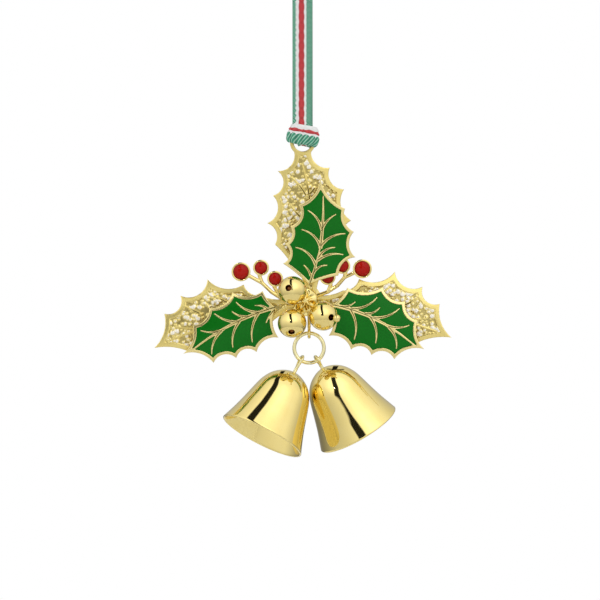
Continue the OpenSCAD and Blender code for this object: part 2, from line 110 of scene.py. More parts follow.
def yarn_relief(u, v):
    """Height of the yarns, 0 to 1, where u runs across the ribbon and v along it in millimetres."""
    if u < 0.18 or u > 0.75:
        return 0.55 + 0.45 * abs(math.sin(math.pi * v / green_float + (2.5 if u > 0.5 else 0)))
    if red_middle - red_half < u < red_middle + red_half:
        across = math.cos((u - red_middle) / red_half * math.pi / 2)
        return across * (0.6 + 0.4 * abs(math.sin(math.pi * v / red_float)))
    return 0.35 + 0.25 * math.sin(2 * math.pi * v / ground_pick)


def new_material(name):
    material = bpy.data.materials.new(name)
    material.use_nodes = True
    tree = material.node_tree
    return material, tree, tree.nodes["Principled BSDF"]


def sums(tree, operation, a, b=None, clamp=False):
    """A Math node on sockets or plain numbers; gives its output."""
    node = tree.nodes.new("ShaderNodeMath")
    node.operation = operation
    node.use_clamp = clamp
    for i, value in enumerate((a, b)):
        if value is None:
            continue
        if isinstance(value, (int, float)):
            node.inputs[i].default_value = value
        else:
            tree.links.new(value, node.inputs[i])
    return node.outputs[0]


def blend_colours(tree, factor, a, b, how="MIX"):
    node = tree.nodes.new("ShaderNodeMix")
    node.data_type = "RGBA"
    node.blend_type = how
    for i, value in ((0, factor), (6, a), (7, b)):
        if isinstance(value, (int, float)):
            node.inputs[i].default_value = value
        elif isinstance(value, tuple):
            node.inputs[i].default_value = (*value, 1)
        else:
            tree.links.new(value, node.inputs[i])
    return node.outputs[2]


def woven_material():
    green, red, white = (0.055, 0.34, 0.20), (0.56, 0.045, 0.05), (0.86, 0.86, 0.85)
    material, tree, shader = new_material("woven_ribbon")
    uv = tree.nodes.new("ShaderNodeUVMap")
    uv.uv_map = "weave"
    parts = tree.nodes.new("ShaderNodeSeparateXYZ")
    tree.links.new(uv.outputs[0], parts.inputs[0])
    u, v = parts.outputs[0], parts.outputs[1]
    bead = sums(tree, "ABSOLUTE", sums(tree, "SINE", sums(tree, "MULTIPLY", v, math.pi / red_float)))
    knot = sums(tree, "ABSOLUTE", sums(tree, "SINE", sums(tree, "MULTIPLY", v, math.pi / green_float)))
    off_red = sums(tree, "ABSOLUTE", sums(tree, "SUBTRACT", u, red_middle))
    reach = sums(tree, "ADD", 0.11, sums(tree, "MULTIPLY", bead, 0.05))
    is_red = sums(tree, "LESS_THAN", off_red, reach)
    left = sums(tree, "LESS_THAN", u, sums(tree, "ADD", 0.12, sums(tree, "MULTIPLY", knot, 0.07)))
    right = sums(tree, "GREATER_THAN", u, sums(tree, "SUBTRACT", 0.78, sums(tree, "MULTIPLY", knot, 0.05)))
    is_green = sums(tree, "MAXIMUM", left, right)
    twist = tree.nodes.new("ShaderNodeTexWave")
    twist.wave_type = "BANDS"
    twist.bands_direction = "DIAGONAL"
    twist.inputs["Scale"].default_value = 0.9
    twist.inputs["Distortion"].default_value = 1.5
    stretched = tree.nodes.new("ShaderNodeMapping")
    stretched.inputs["Scale"].default_value = (5, 1, 1)
    tree.links.new(uv.outputs[0], stretched.inputs[0])
    tree.links.new(stretched.outputs[0], twist.inputs[0])
    colour = blend_colours(tree, is_red, white, red)
    colour = blend_colours(tree, is_green, colour, green)
    yarn = sums(tree, "MULTIPLY", is_green, sums(tree, "GREATER_THAN", twist.outputs["Fac"], 0.78))
    colour = blend_colours(tree, sums(tree, "MULTIPLY", yarn, 0.3), colour, white)
    # On the red and green stripes the colour is multiplied by painted shade and highlight: darker in the gaps
    # between the twisted yarns, lighter on each green knot and on the middle of each red bead.
    twist_painted_shade = sums(tree, "ADD", 0.45, sums(tree, "MULTIPLY", twist.outputs["Fac"], 0.5))
    near_red = sums(tree, "SUBTRACT", 1.0, sums(tree, "MULTIPLY", off_red, 5.0), clamp=True)
    crown = sums(tree, "MULTIPLY", bead, near_red)
    dark = sums(tree, "ADD", twist_painted_shade, sums(tree, "MULTIPLY", sums(tree, "MAXIMUM", knot, crown), 0.4))
    coloured = sums(tree, "MAXIMUM", is_red, is_green)
    tone = sums(tree, "ADD", sums(tree, "MULTIPLY", coloured, dark), sums(tree, "SUBTRACT", 1.0, coloured))
    grey = tree.nodes.new("ShaderNodeCombineColor")
    for i in range(3):
        tree.links.new(tone, grey.inputs[i])
    shaded = blend_colours(tree, 1.0, colour, grey.outputs[0], "MULTIPLY")
    tree.links.new(shaded, shader.inputs["Base Color"])
    shader.inputs["Roughness"].default_value = 0.75
    shader.inputs["Sheen Weight"].default_value = 0.1
    bump = tree.nodes.new("ShaderNodeBump")
    bump.inputs["Strength"].default_value = 0.5
    bump.inputs["Distance"].default_value = 0.1 * mm
    tree.links.new(twist.outputs["Fac"], bump.inputs["Height"])
    tree.links.new(bump.outputs[0], shader.inputs["Normal"])
    return material


woven = woven_material()


def ribbon_strip(line, marks, width, across_dir, bow=0.0):
    """A flat ribbon along a line: rows of points across it, with its face yarns raised."""
    rows, columns = len(line), 29
    bm = bmesh.new()
    bmesh.ops.create_grid(bm, x_segments=columns - 1, y_segments=rows - 1, size=1)
    weave = bm.loops.layers.uv.new("weave")
    order = sorted(bm.verts, key=lambda p: (round(p.co.y, 5), p.co.x))
    place = {}
    for i, vert in enumerate(order):
        row, column = divmod(i, columns)
        u = column / (columns - 1)
        along = (line[min(row + 1, rows - 1)] - line[max(row - 1, 0)]).normalized()
        side = (across_dir - along * along.dot(across_dir)).normalized()
        face = along.cross(side).normalized() * -1
        edge = abs(2 * u - 1)
        height = yarn_relief_height * yarn_relief(u, marks[row]) * (1 - 0.5 * edge ** 6) - bow * edge * edge
        vert.co = (line[row] + side * (u - 0.5) * width + face * height) * mm
        place[vert] = (u, marks[row])
    for face in bm.faces:
        for loop in face.loops:
            loop[weave].uv = place[loop.vert]
    return bm


line, marks = smooth_line(ribbon_route, 0.22)
bm = ribbon_strip(line, marks, ribbon_width / mm, Vector((1, 0, 0)))
bmesh.ops.recalc_face_normals(bm, faces=bm.faces)
ribbon = put("ribbon_loop_woven", bm, "ribbon", woven)
thicken = ribbon.modifiers.new("ribbon_thickness", "SOLIDIFY")
thicken.thickness = ribbon_thick
thicken.offset = 0
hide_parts("ribbon_loop")

# ---- Ribbon knot ---------------------------------------------------------------------------------
# The same ribbon hitched round the hanging eye: one turn drawn tight and a little askew over both
# strands, and the bight that goes through the eye below it.
knot_middle = Vector((0.15, 0, -50.1))
knot_tilt = math.radians(12)
turn_columns = 96
turn_length = 21.6
bight_width = 3.0


def rounded_turn(half_x, half_y):
    """A rounded oblong, as the turn of ribbon lies round the strands."""
    ring, squareness = [], 3.2
    for k in range(turn_columns):
        a = 2 * math.pi * k / turn_columns
        c, s = math.cos(a), math.sin(a)
        size = (abs(c) ** squareness + abs(s) ** squareness) ** (-1 / squareness)
        ring.append(Vector((half_x * size * s, -half_y * size * c, 0)))
    return ring


# half width, half depth and height of each row, from the top edge down
turn_rows = [(2.3, 0.9, 2.7), (2.9, 1.5, 2.8), (3.3, 1.95, 2.5), (3.65, 2.2, 1.9), (3.9, 2.33, 1.2),
             (4.02, 2.4, 0.4), (4.08, 2.4, -0.3), (4.02, 2.38, -1.0), (3.9, 2.3, -1.7), (3.6, 2.15, -2.25),
             (3.2, 1.95, -2.6)]
smooth_rows = smooth_line(turn_rows, 0.16)[0]
bm = bmesh.new()
rows, columns = len(smooth_rows), turn_columns + 1
bmesh.ops.create_grid(bm, x_segments=columns - 1, y_segments=rows - 1, size=1)
weave = bm.loops.layers.uv.new("weave")
place = {}
for i, vert in enumerate(sorted(bm.verts, key=lambda p: (round(p.co.y, 5), p.co.x))):
    row, column = divmod(i, columns)
    shape = smooth_rows[row]
    point = rounded_turn(shape.x, shape.y)[column % turn_columns]
    u = float(np.interp(-shape.z, (-2.7, -1.45, -0.75, -0.2, 2.6), (0.2, 0.345, 0.61, 0.745, 1.0)))
    v = turn_length * column / turn_columns
    outward = Vector((point.x, point.y, 0)).normalized()
    lump = math.sin(v * 2 * math.pi / 1.8 + 2.2 * u) * (0.6 + 0.4 * math.sin(v * 0.9 + 5 * u))
    swell = 0.3 * yarn_relief(u, v) + 0.32 * lump * (0.35 + abs(u - 0.5))
    wave = 0.1 * math.sin(v * 2 * math.pi / (turn_length / 2))
    spot = point + outward * swell + Vector((0, 0, shape.z + wave))
    vert.co = (Matrix.Rotation(knot_tilt, 3, "Y") @ spot + knot_middle) * mm
    place[vert] = (u, v)
for face in bm.faces:
    for loop in face.loops:
        loop[weave].uv = place[loop.vert]
bmesh.ops.remove_doubles(bm, verts=bm.verts, dist=0.02 * mm)
bmesh.ops.recalc_face_normals(bm, faces=bm.faces)
bmesh.ops.solidify(bm, geom=bm.faces[:], thickness=0.45 * mm)
turn = put("ribbon_knot_turn", bm, "ribbon", woven)
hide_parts("ribbon_knot")

bight_route = [(0.3, -1.5, -49.4), (0.35, -1.55, -50.8), (0.4, -1.45, -52), (0.4, -0.9, -52.75),
               (0.4, 0, -52.95), (0.4, 0.9, -52.6), (0.35, 1.4, -51.6), (0.3, 1.5, -50.4), (0.3, 1.5, -49.4)]
line, marks = smooth_line(bight_route, 0.2)
bm = ribbon_strip(line, marks, bight_width, Vector((1, 0, -0.12)), bow=0.35)
bmesh.ops.recalc_face_normals(bm, faces=bm.faces)
bmesh.ops.solidify(bm, geom=bm.faces[:], thickness=0.4 * mm)
put("ribbon_knot_bight", bm, "ribbon", woven)

# ---- Gold leaves ---------------------------------------------------------------------------------
# Three cast leaves behind the enamelled ones, plated pale gold: a flat satin rim, and inside it a field
# of small nuggets with a few raised, split veins. The hanging eye is part of the top leaf.
eye_z = -52
gold_arch = 42
gold_front = -0.45
nugget_relief = 0.36
nugget_size = 1.1


def plated_group():
    """Pale gold plate: its tone, gloss and surface drift a little from place to place."""
    group = bpy.data.node_groups.new("gold_plate", "ShaderNodeTree")
    face = group.interface
    for name, kind in (("Pale", "NodeSocketColor"), ("Deep", "NodeSocketColor"), ("Gloss", "NodeSocketFloat"),
                       ("Patch Size", "NodeSocketFloat"), ("Ripple", "NodeSocketFloat")):
        face.new_socket(name, in_out="INPUT", socket_type=kind)
    for name, kind in (("Color", "NodeSocketColor"), ("Roughness", "NodeSocketFloat"),
                       ("Normal", "NodeSocketVector")):
        face.new_socket(name, in_out="OUTPUT", socket_type=kind)
    into, out = group.nodes.new("NodeGroupInput"), group.nodes.new("NodeGroupOutput")
    spot = group.nodes.new("ShaderNodeTexCoord")
    patches = group.nodes.new("ShaderNodeTexNoise")
    patches.inputs["Detail"].default_value = 3
    group.links.new(spot.outputs["Object"], patches.inputs["Vector"])
    group.links.new(into.outputs["Patch Size"], patches.inputs["Scale"])
    fine = group.nodes.new("ShaderNodeTexNoise")
    fine.inputs["Scale"].default_value = 1600
    fine.inputs["Detail"].default_value = 2
    group.links.new(spot.outputs["Object"], fine.inputs["Vector"])
    drift = sums(group, "MULTIPLY", patches.outputs[0], 0.6)
    group.links.new(blend_colours(group, drift, into.outputs["Pale"], into.outputs["Deep"]),
                    out.inputs["Color"])
    wear = sums(group, "MULTIPLY", patches.outputs[0], fine.outputs[0])
    group.links.new(sums(group, "ADD", into.outputs["Gloss"], sums(group, "MULTIPLY", wear, 0.08)),
                    out.inputs["Roughness"])
    bump = group.nodes.new("ShaderNodeBump")
    bump.inputs["Distance"].default_value = 0.02 * mm
    group.links.new(into.outputs["Ripple"], bump.inputs["Strength"])
    group.links.new(patches.outputs[0], bump.inputs["Height"])
    group.links.new(bump.outputs[0], out.inputs["Normal"])
    return group


gold_plate = plated_group()


def gold_material(name, pale, deep, gloss, patch_size, ripple, groove_painted_shade=None, nugget_glint_colour=None):
    material, tree, shader = new_material(name)
    plate = tree.nodes.new("ShaderNodeGroup")
    plate.node_tree = gold_plate
    plate.inputs["Pale"].default_value = (*pale, 1)
    plate.inputs["Deep"].default_value = (*deep, 1)
    plate.inputs["Gloss"].default_value = gloss
    plate.inputs["Patch Size"].default_value = patch_size
    plate.inputs["Ripple"].default_value = ripple
    colour = plate.outputs["Color"]
    # Near-black colour in the splits of the veins and in the creases between nuggets: painted shade in the
    # grooves.
    if groove_painted_shade:
        split = tree.nodes.new("ShaderNodeAttribute")
        split.attribute_name = "split"
        colour = blend_colours(tree, split.outputs["Fac"], colour, groove_painted_shade)
    metal = None
    # Pale cream, less metallic colour on the tallest nugget tops: a painted glint.
    if nugget_glint_colour:
        top = tree.nodes.new("ShaderNodeAttribute")
        top.attribute_name = "nugget_painted_glint"
        colour = blend_colours(tree, top.outputs["Fac"], colour, nugget_glint_colour)
        metal = sums(tree, "SUBTRACT", 1.0, sums(tree, "MULTIPLY", top.outputs["Fac"], 0.75))
    tree.links.new(colour, shader.inputs["Base Color"])
    tree.links.new(plate.outputs["Roughness"], shader.inputs["Roughness"])
    tree.links.new(plate.outputs["Normal"], shader.inputs["Normal"])
    if metal:
        tree.links.new(metal, shader.inputs["Metallic"])
    else:
        shader.inputs["Metallic"].default_value = 1.0
    return material


leaf_gold = gold_material("leaf_gold", (0.90, 0.76, 0.30), (0.80, 0.59, 0.14), 0.27, 350, 0.2,
                          groove_painted_shade=(0.05, 0.03, 0.01), nugget_glint_colour=(0.98, 0.93, 0.80))


def cast_copy(node, name, voxel, rounds, body, material, shape=None):
    """A copy of a CAD node with its sharp edges softened, as cast and plated metal has them."""
    bm = bmesh.new()
    bm.from_mesh(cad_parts[node].data)
    bmesh.ops.remove_doubles(bm, verts=bm.verts, dist=1e-6)
    bmesh.ops.scale(bm, vec=(1 / mm, 1 / mm, 1 / mm), verts=bm.verts)
    piece = put(name, bm, body, material)
    skin = piece.modifiers.new("skin", "REMESH")
    skin.mode = "VOXEL"
    skin.voxel_size = voxel
    soften = piece.modifiers.new("soften", "SMOOTH")
    soften.factor = 0.5
    soften.iterations = rounds
    seen = piece.evaluated_get(bpy.context.evaluated_depsgraph_get())
    mesh = bpy.data.meshes.new_from_object(seen)
    piece.modifiers.clear()
    piece.data = mesh
    if shape:
        points = np.empty(len(mesh.vertices) * 3, np.float32)
        mesh.vertices.foreach_get("co", points)
        points, marks = shape(points.reshape(-1, 3).astype(float))
        mesh.vertices.foreach_set("co", points.astype(np.float32).ravel())
        for mark, values in marks.items():
            mesh.attributes.new(mark, "FLOAT", "POINT").data.foreach_set("value", values.astype(np.float32))
    mesh.transform(Matrix.Scale(mm, 4))
    mesh.shade_smooth()
    mesh.materials.clear()
    mesh.materials.append(material)
    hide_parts(node)
    return piece


def leaf_places(points, base, angle, flip, front_y, arch):
    """Each point's place on a leaf: along it, across it, and how deep it is below its curved front."""
    x = (points[:, 0] - base[0]) * (-1 if flip else 1)
    y = points[:, 2] - (eye_z + base[1])
    depth = front_y - points[:, 1]
    a = math.radians(angle)
    along = x * math.cos(a) + y * math.sin(a)
    across = -x * math.sin(a) + y * math.cos(a)
    return along, across, arch - np.hypot(across, depth + arch)


def step_up(x, low, high):
    t = np.clip((x - low) / (high - low), 0, 1)
    return t * t * (3 - 2 * t)


def vein_distance(along, across, veins):
    """How far each point is from the nearest vein's middle line, and how far along that vein it lies."""
    far_off, vein_parts = 9.0, 8
    nearest, share = np.full(len(along), far_off), np.zeros(len(along))
    for start, end, bow in veins:
        a, d = np.array(start, float), np.array(end, float) - np.array(start, float)
        side = np.array([-d[1], d[0]]) / np.linalg.norm(d)
        s = np.linspace(0, 1, vein_parts + 1)[:, None]
        path = a + d * s + side * bow * 4 * s * (1 - s)
        for k, (p, q) in enumerate(zip(path, path[1:])):
            e = q - p
            t = np.clip(((along - p[0]) * e[0] + (across - p[1]) * e[1]) / (e @ e), 0, 1)
            far = np.hypot(along - p[0] - e[0] * t, across - p[1] - e[1] * t)
            closer = far < nearest
            nearest[closer] = far[closer]
            share[closer] = (k + t[closer]) / vein_parts
    return nearest, share


def nuggets(along, across, seed):
    """Height of the nugget field: round lumps of mixed size, each leaning its own way."""
    heights = np.empty(len(along))
    for i, (a, b) in enumerate(zip(along, across)):
        spot = Vector((a / nugget_size, b / nugget_size, seed))
        far, middles = noise.voronoi(spot)
        lean = middles[0]
        size = 0.72 + 0.28 * math.sin(lean.x * 31 + lean.y * 17)
        lump = max(0.0, 1 - (far[0] / (0.82 * size)) ** 2)
        tilt = (math.sin(lean.x * 12.9 + lean.y * 7.1) * (spot.x - lean.x)
                + math.cos(lean.x * 5.3 - lean.y * 9.7) * (spot.y - lean.y))
        heights[i] = size * lump ** 0.6 + 0.35 * tilt * min(1.0, 2 * lump)
    return heights


def gold_leaf_shape(base, angle, flip, veins, seed):
    def shape(points):
        along, across, deep = leaf_places(points, base, angle, flip, gold_front, gold_arch)
        away, share = vein_distance(along, across, veins)
        near_vein = (1 - step_up(away, 0.22, 0.4)) * (1 - 0.6 * share)
        field = step_up(deep, 0.1, 0.2) * (1 - step_up(deep, 0.45, 0.55)) * (1 - near_vein)
        inside = field > 0.01
        lift = np.zeros(len(points))
        lift[inside] = nuggets(along[inside], across[inside], seed) * nugget_relief * field[inside]
        front = 1 - step_up(deep, 0.3, 0.45)
        # split is a real groove pushed back into the vein, and its mark also colours it near black: painted
        # shade. The low creases between nuggets get 0.4 of the same painted shade.
        split = (front * (1 - step_up(away, 0.06, 0.2)) * step_up(share, 0.1, 0.2)
                 * (1 - step_up(share, 0.45, 0.7)))
        # The tallest nugget tops are marked for a painted glint.
        painted_glint = step_up(lift, 0.4 * nugget_relief, 0.75 * nugget_relief)
        crease_painted_shade = field * (1 - step_up(lift, 0.02 * nugget_relief, 0.25 * nugget_relief))
        points[:, 1] -= lift + 0.1 * front * near_vein - 0.35 * split
        return points, {"split": np.maximum(split, 0.4 * crease_painted_shade), "nugget_painted_glint": painted_glint}
    return shape


side_gold_veins = [((22, 4.6), (25.8, 8.3), -0.2), ((14, 5), (17.6, 8.8), -0.2), ((10, 0), (33, 0.6), 0.6),
                   ((19, 1.2), (29.6, 3.4), -0.6)]
top_gold_veins = [((20, -1.4), (33.4, 0.3), -0.4), ((23.6, -0.8), (30, 3.5), -0.4),
                  ((18, 0.4), (22.6, 4), 0.3), ((24.4, -1), (27.4, -4.6), 0.4)]
for node, base, angle, flip, veins in (("gold_leaf_top", (1.8, -39), 92.8, False, top_gold_veins),
                                       ("gold_leaf_left", (-4.7, -43.8), -18.3, True, side_gold_veins),
                                       ("gold_leaf_right", (4.3, -42.8), -15.4, False, side_gold_veins)):
    cast_copy(node, node + "_cast", 0.13, 3, "holly", leaf_gold,
              gold_leaf_shape(base, angle, flip, veins, len(node) + angle))

# ---- Enamelled leaves ----------------------------------------------------------------------------
# Three shallow gold trays with a raised rim and raised veins, each vein split along its middle. Glossy
# green enamel fills the fields between them, a little rounded where it meets the gold.
green_arch = 34
green_front = -4.6
rim_gold = gold_material("rim_gold", (0.90, 0.77, 0.36), (0.82, 0.62, 0.20), 0.2, 400, 0.2,
                         groove_painted_shade=(0.03, 0.05, 0.01))

# each vein: where it starts and ends, along and across its leaf, and how far it bows sideways
left_veins = [((-6, -1.2), (25, -0.2), 1.9), ((14.9, 1), (20.6, 3.5), -0.6), ((10.4, 1), (15.3, 6), -0.7),
              ((7.4, 1.1), (10.8, 4.3), -0.5), ((4.6, 0.9), (8.7, 6.1), -0.7), ((1.8, 0.2), (4.6, 3), 0.5),
              ((15.6, 0.9), (20.8, -3.6), 0.8), ((10.2, 1), (14.9, -4.5), 0.8),
              ((4.4, 0.8), (9.6, -5.6), 0.9), ((-0.6, -0.2), (4, -2.6), 0.4)]
right_veins = [((-5, -1.1), (25, -0.2), 2.4), ((15.8, 1.5), (21.2, 4.2), -0.6),
               ((11.6, 1.9), (16.9, 7.2), -0.8), ((9, 1.9), (12, 5.2), -0.6), ((5.2, 1.6), (10.2, 7.3), -0.9),
               ((2.4, 1), (5.4, 3.8), -0.5), ((16.4, 1.3), (20.7, -3.1), 0.8),
               ((10.6, 1.8), (15, -4.1), 0.9), ((4.9, 1.4), (9.4, -5.6), 1)]
top_veins = [((-3, 0.6), (10.6, -1.9), -0.3), ((9.6, -1.9), (23.8, -1.1), -0.3),
             ((15, -1.6), (19.5, 2.6), -0.7), ((10, -1.9), (14.2, 3.7), -1), ((5.2, -1.1), (9.3, 4.8), -1),
             ((2, -0.2), (4.8, 2.1), -0.3), ((14.4, -1.7), (19.3, -5.1), 0.6),
             ((10.2, -1.9), (14.4, -8.2), 1), ((7.2, -1.7), (10.4, -5.9), 0.8),
             ((6.4, -1.5), (8.7, -8.3), 0.9), ((2.9, -0.8), (5.4, -4.3), 0.7)]


def green_enamel_material():
    material, tree, shader = new_material("green_enamel")
    spot = tree.nodes.new("ShaderNodeTexCoord")
    cloud = tree.nodes.new("ShaderNodeTexNoise")
    cloud.inputs["Scale"].default_value = 180
    cloud.inputs["Detail"].default_value = 4
    tree.links.new(spot.outputs["Object"], cloud.inputs["Vector"])
    colour = blend_colours(tree, cloud.outputs[0], (0.004, 0.135, 0.008), (0.007, 0.18, 0.012))
    tree.links.new(colour, shader.inputs["Base Color"])
    gloss = sums(tree, "ADD", 0.1, sums(tree, "MULTIPLY", cloud.outputs[0], 0.12))
    tree.links.new(gloss, shader.inputs["Roughness"])
    bump = tree.nodes.new("ShaderNodeBump")
    bump.inputs["Strength"].default_value = 0.15
    bump.inputs["Distance"].default_value = 0.05 * mm
    tree.links.new(cloud.outputs[0], bump.inputs["Height"])
    tree.links.new(bump.outputs[0], shader.inputs["Normal"])
    shader.inputs["Specular IOR Level"].default_value = 0.1
    return material


green_enamel = green_enamel_material()


def tray_shape(base, angle, flip, veins):
    def shape(points):
        along, across, deep = leaf_places(points, base, angle, flip, green_front, green_arch)
        away, share = vein_distance(along, across, veins)
        raised = 1 - step_up(deep, 0.12, 0.3)
        split = raised * (1 - step_up(away, 0.03, 0.13)) * (1 - step_up(share, 0.45, 0.8))
        # The split is pushed back into each vein, and its mark also colours it dark: painted shade in the
        # groove.
        points[:, 1] += 0.3 * split
        return points, {"split": split}
    return shape


for side, base, angle, flip, veins in (("top", (1.8, -38.1), 83.7, False, top_veins),
                                       ("left", (-7.4, -44.6), -26.6, True, left_veins),
                                       ("right", (7.7, -44.1), -25, False, right_veins)):
    cast_copy("green_leaf_" + side, f"green_leaf_{side}_tray", 0.1, 3, "holly", rim_gold,
              tray_shape(base, angle, flip, veins))
    cast_copy("leaf_enamel_" + side, f"leaf_enamel_{side}_fill", 0.13, 3, "holly",
              green_enamel)

# ---- Berry sprays --------------------------------------------------------------------------------
# Two sprays cast in one with their stems: three round cups each, filled with domed red enamel.
left_berries = [(-16.6, -34.9), (-11.2, -33.8), (-7.4, -36.8)]
right_berries = [(16.1, -34.1), (10.7, -33.3), (6.75, -36.3)]
berry_radii = (2.05, 1.65, 1.65)
cup_front = -1.6
fill_depth = 0.6
fill_gap = 0.02
fill_edge = 0.12
dome_steps = 12
bright_gold = gold_material("bright_gold", (0.92, 0.77, 0.33), (0.86, 0.65, 0.18), 0.04, 260, 0.03)


def red_enamel_material():
    material, tree, shader = new_material("red_enamel")
    spot = tree.nodes.new("ShaderNodeTexCoord")
    cloud = tree.nodes.new("ShaderNodeTexNoise")
    cloud.inputs["Scale"].default_value = 400
    tree.links.new(spot.outputs["Object"], cloud.inputs["Vector"])
    # The red darkens towards the edge of each dome as its surface turns away from the viewer: painted shade.
    facing_painted_shade = tree.nodes.new("ShaderNodeLayerWeight")
    facing_painted_shade.inputs["Blend"].default_value = 0.25
    berry_red = blend_colours(tree, cloud.outputs[0], (0.40, 0.006, 0.003), (0.46, 0.010, 0.004))
    tree.links.new(blend_colours(tree, facing_painted_shade.outputs["Facing"], berry_red, (0.16, 0.002, 0.002)),
                   shader.inputs["Base Color"])
    gloss = sums(tree, "ADD", 0.05, sums(tree, "MULTIPLY", cloud.outputs[0], 0.08))
    tree.links.new(gloss, shader.inputs["Roughness"])
    shader.inputs["Specular IOR Level"].default_value = 0.15
    return material


red_enamel = red_enamel_material()


def turned(profile, count, place, closed=False):
    """A turned shape: a profile of (radius, height) spun round its axis, then put in place."""
    bm = bmesh.new()
    verts = [bm.verts.new((r, 0, z)) for r, z in profile]
    edges = [bm.edges.new(pair) for pair in zip(verts, verts[1:])]
    if closed:
        edges.append(bm.edges.new((verts[-1], verts[0])))
    bmesh.ops.spin(bm, geom=verts + edges, cent=(0, 0, 0), axis=(0, 0, 1), dvec=(0, 0, 0), angle=2 * math.pi,
                   steps=count, use_merge=True, use_duplicate=False)
    bmesh.ops.remove_doubles(bm, verts=bm.verts, dist=0.004)
    bmesh.ops.recalc_face_normals(bm, faces=bm.faces)
    bmesh.ops.transform(bm, matrix=Matrix.Scale(mm, 4) @ place, verts=bm.verts)
    return bm


def joined(shapes):
    """Several bmeshes as one."""
    whole = bmesh.new()
    for bm in shapes:
        part = bpy.data.meshes.new("part")
        bm.to_mesh(part)
        bm.free()
        whole.from_mesh(part)
        bpy.data.meshes.remove(part)
    return whole


to_front = Matrix.Rotation(math.pi / 2, 4, "X")
for side, berries in (("left", left_berries), ("right", right_berries)):
    cast_copy("berry_spray_" + side, f"berry_spray_{side}_cast", 0.09, 3, "holly", bright_gold)
    domes = []
    for (x, z), radius in zip(berries, berry_radii):
        rise = 0.42 * radius
        dome = [(0, -fill_depth), (radius - fill_gap, -fill_depth)]
        for k in range(dome_steps + 1):
            a = math.pi / 2 * k / dome_steps
            dome.append((radius * math.cos(a) ** 0.75 - fill_gap * math.cos(a),
                         -fill_edge + (rise + fill_edge) * math.sin(a)))
        dome[-1] = (0, rise)
        domes.append(turned(dome, 48, Matrix.Translation((x, cup_front, eye_z + z)) @ to_front))
    fill = put(f"berry_enamel_{side}_domes", joined(domes), "holly", red_enamel)
    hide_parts("berry_enamel_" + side)

# ---- Hub and beads -------------------------------------------------------------------------------
# The hub joins the leaves and sprays and carries a plate with three pads. A hollow gold bead sits on
# each pad, drilled through for its pin; the right bead's pin ends in a small ball.
hub_front = -4.75
pad_height = 0.6
bead_radius = 3.85
bead_hole = 0.85
hole_lip = 0.12
pin_radius = 0.5
bead_y = hub_front - pad_height - bead_radius
# each bead's place on the hub, and how far its hole is turned sideways and up
beads = {"top": ((-2.7, -40), -17, 11), "left": ((-2.8, -48.7), -3, -39), "right": ((5.5, -46.8), 35, -5)}
hub_place = (0.7, -94.5)


def hub_shape(points):
    """The front of the hub is crowned, with shallow flutes between the feet of the stems."""
    x, z = points[:, 0] - hub_place[0], points[:, 2] - hub_place[1]
    out, round_it = np.hypot(x, z), np.arctan2(z, x)
    front = step_up(-points[:, 1], 5.4, 5.7)
    crown = np.clip(1 - (out / 3.3) ** 2, 0, 1)
    points[:, 1] -= front * crown * (1.3 + 0.45 * np.cos(7 * round_it) * step_up(out, 0.4, 1.6))
    return points, {}


cast_copy("centre_hub", "centre_hub_cast", 0.12, 4, "holly", bright_gold, hub_shape)
# The pin ends inside the bead holes are coloured dark brown: painted shade for the dark inside of the holes.
hole_painted_shade = gold_material("hole_painted_shade_gold", (0.24, 0.09, 0.03), (0.12, 0.04, 0.015), 0.3, 500, 0.3)
pin_ends = []
for side, ((x, z), turn_angle, lift_angle) in beads.items():
    place = (Matrix.Translation((x, bead_y, eye_z + z)) @ Matrix.Rotation(math.radians(turn_angle), 4, "Z")
             @ Matrix.Rotation(math.radians(-lift_angle), 4, "X") @ to_front)
    lip = math.sqrt(bead_radius ** 2 - (bead_hole + hole_lip) ** 2)
    profile = [(pin_radius, -bead_radius + 0.03)]
    for k in range(2, 47):
        a = math.pi * k / 48 - math.pi / 2
        r, h = bead_radius * math.cos(a), bead_radius * math.sin(a)
        if r > pin_radius + 0.02 and (h < 0 or r > bead_hole + hole_lip):
            profile.append((r, h))
    profile += [(bead_hole + hole_lip, lip), (bead_hole + 0.04, lip - 0.03), (bead_hole, lip - hole_lip),
                (bead_hole, lip - 0.7), (bead_hole + 0.25, lip - 0.72), (2.3, 1.9), (2.9, 0), (2.2, -2.2),
                (pin_radius, -3.1)]
    shell = put(f"bead_{side}_shell", turned(profile, 96, place, closed=True), "holly",
                bright_gold)
    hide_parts("bead_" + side)
    collar = [(0, -4.7), (pin_radius, -4.7), (pin_radius, 2.7), (bead_hole - 0.01, 2.7),
              (bead_hole - 0.01, 3.15), (pin_radius, 3.05), (0.42, 3.3), (0.2, 3.38), (0, 3.4)]
    pin_ends.append(turned(collar, 32, place))
    if side == "right":
        peg = [(0, 3.1), (pin_radius, 3.1), (pin_radius, 5.25)]
        for k in range(4, 17):
            a = math.pi * k / 16
            peg.append((math.sin(a), 6.2 - math.cos(a)))
        peg[-1] = (0, 7.2)
        put("bead_right_peg", turned(peg, 32, place), "holly", bright_gold)
rivets = put("bead_pin_collars", joined(pin_ends), "holly", hole_painted_shade)
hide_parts("bead_pins")
eye_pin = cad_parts["hub_eye_pin"]
eye_pin.data.materials.clear()
eye_pin.data.materials.append(bright_gold)

# ---- Jump ring and bell eyes ---------------------------------------------------------------------
# A round wire ring hangs in the hub's eye. Each bell has a wire eye round it, twisted below the ring,
# that goes through the crown and carries the clapper inside.
wire_gold = gold_material("wire_gold", (0.94, 0.87, 0.52), (0.86, 0.74, 0.32), 0.12, 500, 0.1)
for node in ("jump_ring", "bell_eye_left", "bell_eye_right", "clapper_left", "clapper_right"):
    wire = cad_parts[node]
    wire.data.materials.clear()
    wire.data.materials.append(wire_gold)

